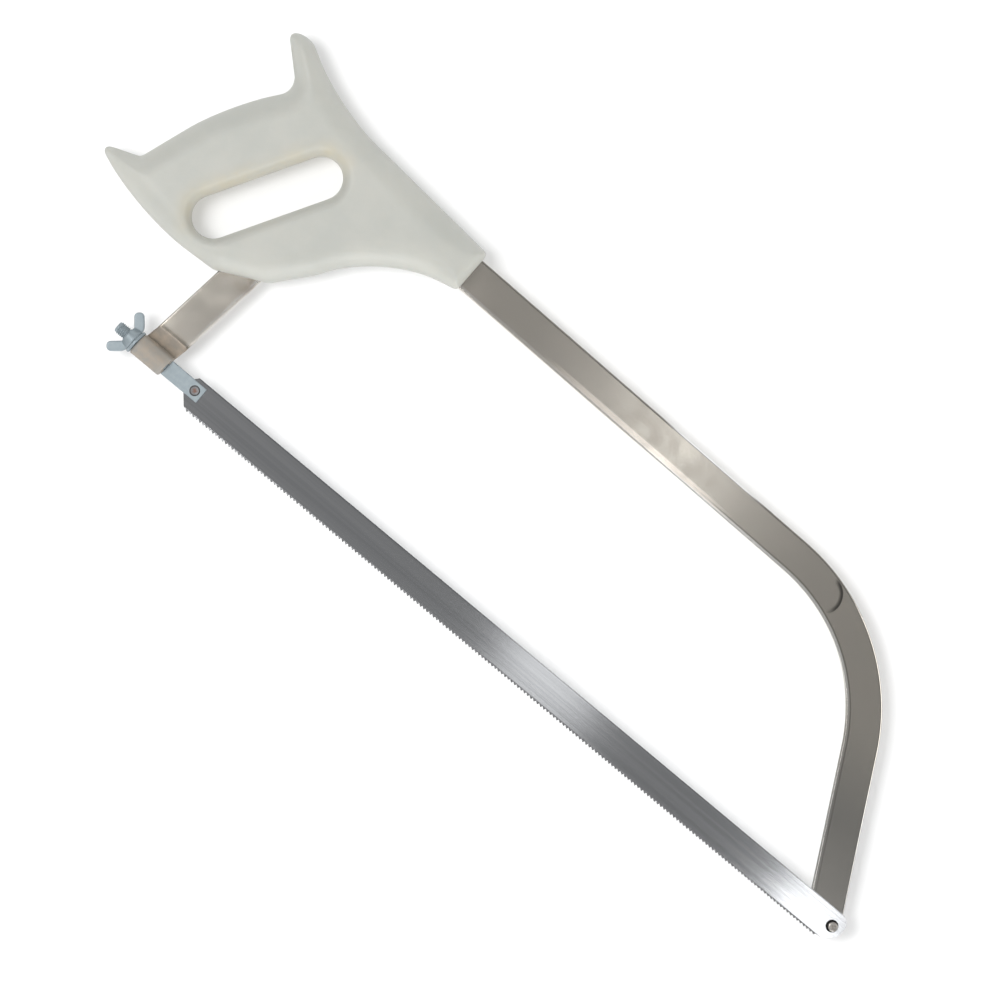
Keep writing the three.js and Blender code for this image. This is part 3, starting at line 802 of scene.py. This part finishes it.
# Blade. A bright steel strip with ten teeth to the inch, set to either side in turn.
# Its tail is held in the draw bar's fork, and its front hole hooks on the stud.
BLADE_BACK = 0.0077
BLADE_DEPTH = 0.0208
BLADE_THICKNESS = 0.0008
HOLE_SPACING = 0.5
HOLE_DROP = 0.0018
BLADE_TURN = math.atan2(HOLE_DROP, HOLE_SPACING)
BLADE_ROLL = math.radians(1.2)
TOOTH_PITCH = 0.00254
TOOTH_DEPTH = 0.0014
TOOTH_LEAN = 0.7
TOOTH_SET = 0.0002
NOSE_X = 0.5072
NOSE_BACK_RADIUS = 0.007
NOSE_TOOTH_RADIUS = 0.012
NOSE_CORNER_SHARE = 0.999
NOSE_SEGMENTS = 14
HOLE_X = 0.49999
HOLE_RADIUS = 0.0039
TAIL_X = -0.0073
TAIL_FLAT = 0.0022
TAIL_SLOPE = math.radians(49)

blade_tips = BLADE_BACK - BLADE_DEPTH
gullets = blade_tips + TOOTH_DEPTH
row_rear = TAIL_X + (-gullets - TAIL_FLAT) / math.tan(TAIL_SLOPE)
row_front = NOSE_X - NOSE_TOOTH_RADIUS
teeth = math.floor((row_front - row_rear) / TOOTH_PITCH)
row_start = row_front - teeth * TOOTH_PITCH

# The toothed length is a grid of two columns to a tooth, whose lower row is pulled down.
blade = bmesh.new()
bmesh.ops.create_grid(blade, x_segments=2 * teeth, y_segments=2, size=1)
for vert in blade.verts:
    column = round((vert.co.x + 1) * teeth)
    level = round(vert.co.y)
    vert.co.x = row_start + column * TOOTH_PITCH / 2
    vert.co.y = BLADE_BACK if level > 0 else gullets
    if level < 0 and column % 2:
        vert.co.x += TOOTH_PITCH * (TOOTH_LEAN - 0.5)
        vert.co.y = blade_tips
        vert.co.z = TOOTH_SET if column % 4 == 1 else -TOOTH_SET
bmesh.ops.remove_doubles(blade, verts=blade.verts, dist=WELD)

nose = bmesh.new()
nose_corners = [
    nose.verts.new((row_front, BLADE_BACK, 0)),
    nose.verts.new((row_front, gullets, 0)),
    nose.verts.new((NOSE_X, gullets, 0)),
    nose.verts.new((NOSE_X, BLADE_BACK, 0)),
]
nose.faces.new(nose_corners)
tooth_round = NOSE_TOOTH_RADIUS * NOSE_CORNER_SHARE
round_off(nose, [nose_corners[2]], tooth_round, "VERTICES", NOSE_SEGMENTS)
round_off(nose, [nose_corners[3]], NOSE_BACK_RADIUS, "VERTICES", NOSE_SEGMENTS)
nose.faces.remove(nose.faces[:][0])
hole_place = Matrix.Translation((HOLE_X, -HOLE_DROP, 0))
bmesh.ops.create_circle(nose, segments=TURNED_SIDES, radius=HOLE_RADIUS, matrix=hole_place)
bmesh.ops.triangle_fill(nose, edges=nose.edges, use_beauty=True)
add_shape(blade, nose)

tail = bmesh.new()
tail_back = TAIL_X + (BLADE_BACK - TAIL_FLAT) / math.tan(TAIL_SLOPE)
tail_corners = [
    (row_start, BLADE_BACK),
    (tail_back, BLADE_BACK),
    (TAIL_X, TAIL_FLAT),
    (TAIL_X, -TAIL_FLAT),
    (row_rear, gullets),
    (row_start, gullets),
]
tail.faces.new([tail.verts.new((x, y, 0)) for x, y in tail_corners])
add_shape(blade, tail)
bmesh.ops.remove_doubles(blade, verts=blade.verts, dist=WELD)
bmesh.ops.recalc_face_normals(blade, faces=blade.faces)
thicken(blade, UP * BLADE_THICKNESS)
bmesh.ops.translate(blade, verts=blade.verts, vec=-UP * BLADE_THICKNESS / 2)
bmesh.ops.recalc_face_normals(blade, faces=blade.faces)
for axis, angle in (("Z", BLADE_TURN), ("X", BLADE_ROLL)):
    turn = Matrix.Rotation(angle, 3, axis)
    bmesh.ops.rotate(blade, verts=blade.verts, cent=MIDDLE, matrix=turn)

# Grinding lines run along the strip. Its back edge is darker; its teeth carry painted shade.
TEETH_ROW = (gullets - 0.0004, gullets + 0.0008)
BACK_LINE = (BLADE_BACK - 0.0009, BLADE_BACK - 0.0004)
blade_steel, place = new_finish("blade_steel")
from_hook = place.make("VectorMath", {"operation": "SUBTRACT"}, {0: place, 1: hook})
height = from_hook.stretched((1, 1, 1), -BLADE_TURN).axis("Y")
teeth_row = height.fall(*TEETH_ROW)
back_line = height.rise(*BACK_LINE)
lines = place.stretched((8, 2600, 400), -BLADE_TURN).noise(1, detail=2)
bands = place.stretched((2, 320, 100), -BLADE_TURN).noise(1)
bright = bands.rise(0.3, 0.7).tint(rgb(0.45, 0.46, 0.475), rgb(0.55, 0.56, 0.575))
seal_finish(place, {
    "Base Color": lay_coats(bright, [
        (back_line, 0.6, rgb(0.16, 0.16, 0.165)),
        # Painted shade along the teeth.
        (teeth_row, 0.75, rgb(0.26, 0.26, 0.265)),
    ]),
    "Metallic": 1.0,
    "Roughness": 0.065 + lines * 0.04 + teeth_row * 0.2,
    "Normal": (lines + bands).bump(strength=0.2, distance=0.00002),
})
toothed_blade = make_piece(blade, "toothed_blade", blade_steel, 0)
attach(toothed_blade, "saw_blade")
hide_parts("blade")

# Rivet. A countersunk steel rivet through the fork and the blade's tail, hammered down on
# both sides. Its head is rusted in its middle and has a ring of painted shade round its edge.
RIVET_RADIUS = 0.0025
RIVET_HEAD = 0.0033
RIVET_COUNTERSINK = 0.001
RIVET_LAND = 0.0002
RIVET_BACK_ROUND = 0.0003
RIVET_FRONT_ROUND = 0.0004
RIVET_PROUD = 0.00012
RIVET_DISH = [(0.0018, 0.00008), (0, 0.00005)]
HEAD_RING_SHADE = (0.0022, 0.0027, 0.0031, 0.0034)
RUST_SPOT = (0.0006, 0.0021)
rivet = bmesh.new()
turn_profile(rivet, [
    (0, -FLAT_HALF),
    (RIVET_HEAD - RIVET_BACK_ROUND, -FLAT_HALF),
    (RIVET_HEAD, -FLAT_HALF + RIVET_LAND),
    (RIVET_RADIUS, -FLAT_HALF + RIVET_COUNTERSINK),
    (RIVET_RADIUS, FLAT_HALF - RIVET_COUNTERSINK),
    (RIVET_HEAD, FLAT_HALF - RIVET_LAND),
    (RIVET_HEAD, FLAT_HALF),
    (RIVET_HEAD - RIVET_FRONT_ROUND, FLAT_HALF + RIVET_PROUD),
    *[(radius, FLAT_HALF + proud) for radius, proud in RIVET_DISH],
], UP, ALONG)
rivet_steel, place = new_finish("rivet_steel")
from_middle = place.distance_to(hook + UP * FLAT_HALF)
# Painted shade in a ring round the head's edge.
head_ring_shade = from_middle.between(*HEAD_RING_SHADE)
rust = from_middle.fall(*RUST_SPOT) * place.noise(900).rise(0.3, 0.55)
dull = place.noise(1200).tint(rgb(0.11, 0.11, 0.115), rgb(0.19, 0.19, 0.195))
seal_finish(place, {
    "Base Color": lay_coats(dull, [
        (rust, 1, rgb(0.17, 0.085, 0.06)),
        (head_ring_shade, 1, rgb(0.05, 0.05, 0.05)),
    ]),
    "Metallic": 1 - rust * 0.8,
    "Roughness": 0.4 + rust * 0.4,
    "Normal": place.noise(1500).bump(strength=0.5, distance=0.0001),
})
tail_rivet = make_piece(rivet, "tail_rivet", rivet_steel)
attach(tail_rivet, "drawer")
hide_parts("blade_rivet")

# Washer. A ring punched from steel sheet and zinc-plated. It seats on the leaning end of
# the eye, square to it, and takes the thrust of the wing nut.
FIT = 0.0003
WASHER_RADIUS = 0.0078
WASHER_THICKNESS = 0.0016
WASHER_BORE = 0.0046
PLATED_EDGE = 0.0002
NUT_SEAT = 2 * FIT + WASHER_THICKNESS
HUB_HEIGHT = 0.0056
seat_y = -(NUT_SEAT + HUB_HEIGHT / 2) * math.sin(EYE_LEAN)
seat = Matrix.Translation((eye_x(seat_y) - EYE_HALF, seat_y, 0))
on_eye = seat @ Matrix.Rotation(-EYE_LEAN, 4, "Z")
washer_top = FIT + WASHER_THICKNESS
punched = bmesh.new()
turn_profile(punched, [
    (WASHER_BORE, FIT + PLATED_EDGE),
    (WASHER_BORE + PLATED_EDGE, FIT),
    (WASHER_RADIUS - PLATED_EDGE, FIT),
    (WASHER_RADIUS, FIT + PLATED_EDGE),
    (WASHER_RADIUS, washer_top - PLATED_EDGE),
    (WASHER_RADIUS - PLATED_EDGE, washer_top),
    (WASHER_BORE + PLATED_EDGE, washer_top),
    (WASHER_BORE, washer_top - PLATED_EDGE),
    (WASHER_BORE, FIT + PLATED_EDGE),
], -ALONG, ASIDE)
bmesh.ops.transform(punched, matrix=on_eye, verts=punched.verts)
nut_washer = make_piece(punched, "nut_washer", zinc_finish("washer_zinc"))
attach(nut_washer, "bow")
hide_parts("washer")

# Wing nut. A cast and zinc-plated nut with two leaf wings that lean back along the rod.
# The casting's wings run into its hub with small fillets. It screws on the draw bar.
HUB_RADIUS = 0.0065
HUB_TOP_RADIUS = 0.0056
HUB_FOOT = 0.0014
NUT_BORE = 0.0043
WING_HALF = 0.0012
WING_CORNERS = [
    (0, 0.005),
    (0, 0.0088),
    (0.0078, 0.0163),
    (0.0122, 0.0120),
    (0.0067, 0.0064),
    (0.0052, 0.005),
]
WING_ROUND = 0.0027
WING_ROUND_SEGMENTS = 6
WING_EDGE = 0.0006
NUT_VOXEL = 0.0003
NUT_SMOOTHING = 4
nut = bmesh.new()
turn_profile(nut, [
    (NUT_BORE, 0),
    (HUB_RADIUS - PLATED_EDGE, 0),
    (HUB_RADIUS, PLATED_EDGE),
    (HUB_RADIUS, HUB_FOOT),
    (HUB_TOP_RADIUS, HUB_HEIGHT - PLATED_EDGE),
    (HUB_TOP_RADIUS - PLATED_EDGE, HUB_HEIGHT),
    (NUT_BORE, HUB_HEIGHT),
    (NUT_BORE, 0),
], -ALONG, ASIDE)
for angle in (0, math.pi):
    wing = bmesh.new()
    leaf = [wing.verts.new((-back, out, -WING_HALF)) for back, out in WING_CORNERS]
    wing.faces.new(leaf)
    round_off(wing, leaf[1:-1], WING_ROUND, "VERTICES", WING_ROUND_SEGMENTS)
    thicken(wing, UP * WING_HALF * 2)
    bmesh.ops.recalc_face_normals(wing, faces=wing.faces)
    flat_edges = [
        edge for edge in wing.edges if abs(edge.verts[0].co.z - edge.verts[1].co.z) < WELD
    ]
    round_off(wing, flat_edges, WING_EDGE, "EDGES", SMALL_ROUND_SEGMENTS)
    turn = Matrix.Rotation(angle, 3, "X")
    bmesh.ops.rotate(wing, verts=wing.verts, cent=MIDDLE, matrix=turn)
    add_shape(nut, wing)
bmesh.ops.translate(nut, verts=nut.verts, vec=-ALONG * NUT_SEAT)
bmesh.ops.transform(nut, matrix=on_eye, verts=nut.verts)
thumb_nut = make_piece(nut, "thumb_nut", zinc_finish("nut_zinc"))
mould_skin(thumb_nut, NUT_VOXEL, NUT_SMOOTHING)
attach(thumb_nut, "nut")
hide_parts("wing_nut")

# Floor, camera and studio light. The saw lies on a plain sheet of paper and is seen from
# straight above. A soft key light on the left throws the shadows, low fills without shadows
# light the grip's edges, and bright cards by the camera are mirrored in the flat steel.
FLOOR_SIZE = 30
sheet = bmesh.new()
bmesh.ops.create_grid(sheet, x_segments=1, y_segments=1, size=FLOOR_SIZE / 2)
floor_data = bpy.data.meshes.new("floor")
sheet.to_mesh(floor_data)
sheet.free()
floor = bpy.data.objects.new("floor", floor_data)
bpy.context.scene.collection.objects.link(floor)
paper, place = new_finish("paper")
seal_finish(place, {
    "Base Color": place.noise(6).tint(rgb(0.80, 0.80, 0.80), rgb(0.815, 0.815, 0.815)),
    "Roughness": 0.9,
})
floor_data.materials.append(paper)

VIEW_ROLL = math.radians(40.03)
VIEW_MIDDLE = Vector((0.1826, 0.0677, 0))
VIEW_WIDTH = 0.601
VIEW_CLIP = 100
LENS = 150
camera_data = bpy.data.cameras.new("camera")
camera_data.lens = LENS
camera_data.clip_end = VIEW_CLIP
camera = bpy.data.objects.new("camera", camera_data)
bpy.context.scene.collection.objects.link(camera)
view_distance = VIEW_WIDTH * LENS / camera_data.sensor_width
view_point = hook + VIEW_MIDDLE
camera.location = view_point + UP * view_distance
camera.rotation_euler = (0, 0, VIEW_ROLL)
bpy.context.scene.camera = camera
view_right = slope(VIEW_ROLL)
view_up = left_of(view_right)


def soft_light(name, spot, width, length, radiance):
    """An area light at a spot over the saw, facing the middle of the view."""
    data = bpy.data.lights.new(name, "AREA")
    data.shape = "RECTANGLE"
    data.size = width
    data.size_y = length
    data.energy = radiance * width * length * math.pi
    light = bpy.data.objects.new(name, data)
    bpy.context.scene.collection.objects.link(light)
    light.location = view_point + spot
    light.rotation_euler = (-spot).to_track_quat("-Z", "Y").to_euler()
    return light


def card(name, start, end, width, radiance):
    """A bright strip level with the camera, between two places in the plane of the saw."""
    run = Vector((*end, 0)) - Vector((*start, 0))
    spot = Vector((*start, 0)) + run / 2 + UP * view_distance
    light = soft_light(name, spot, width, run.length, radiance)
    light.rotation_euler = (0, 0, math.atan2(run.y, run.x) - math.pi / 2)


KEY_SIZE = 1.3
KEY_RADIANCE = 9.8
KEY_SPOT = view_right * -1.3 + view_up * 0.35 + UP * 2.6
FILL_WIDTH = 1.8
FILL_LENGTH = 1.2
FILL_HEIGHT = 0.9
FILL_REACH = 2.4
soft_light("key", KEY_SPOT, KEY_SIZE, KEY_SIZE, KEY_RADIANCE)
for name, aside, radiance in [
    ("low_fill", view_right * -0.3 - view_up * FILL_REACH, 6.8),
    ("high_fill", view_up * FILL_REACH, 1.7),
    ("side_fill", view_right * FILL_REACH, 4.0),
]:
    fill = soft_light(name, aside + UP * FILL_HEIGHT, FILL_WIDTH, FILL_LENGTH, radiance)
    fill.data.use_shadow = False
card("bar_band", start=(0.094, 0.33), end=(0.135, 0.08), width=0.1, radiance=2.1)
card("blade_band", start=(0.150, -0.05), end=(0.190, -0.28), width=0.13, radiance=1.1)
card("glint", start=(0.607, -0.21), end=(0.607, -0.36), width=0.095, radiance=3.2)

HORIZON = rgb(0.82, 0.83, 0.84)
ZENITH = rgb(0.3, 0.3, 0.3)
HORIZON_TO_ZENITH = (0.25, 0.95)
world = bpy.data.worlds.new("studio")
world.use_nodes = True
bpy.context.scene.world = world
world.node_tree.nodes.clear()
sky = Shade(world.node_tree).make("TexCoord", {}, {}, "Generated")
sky_colour = sky.axis("Z").rise(*HORIZON_TO_ZENITH).tint(HORIZON, ZENITH)
glow = sky.make("Background", {}, {"Color": sky_colour, "Strength": 1.0})
sky.make("OutputWorld", {}, {"Surface": glow})
bpy.context.scene.view_settings.view_transform = "Standard"
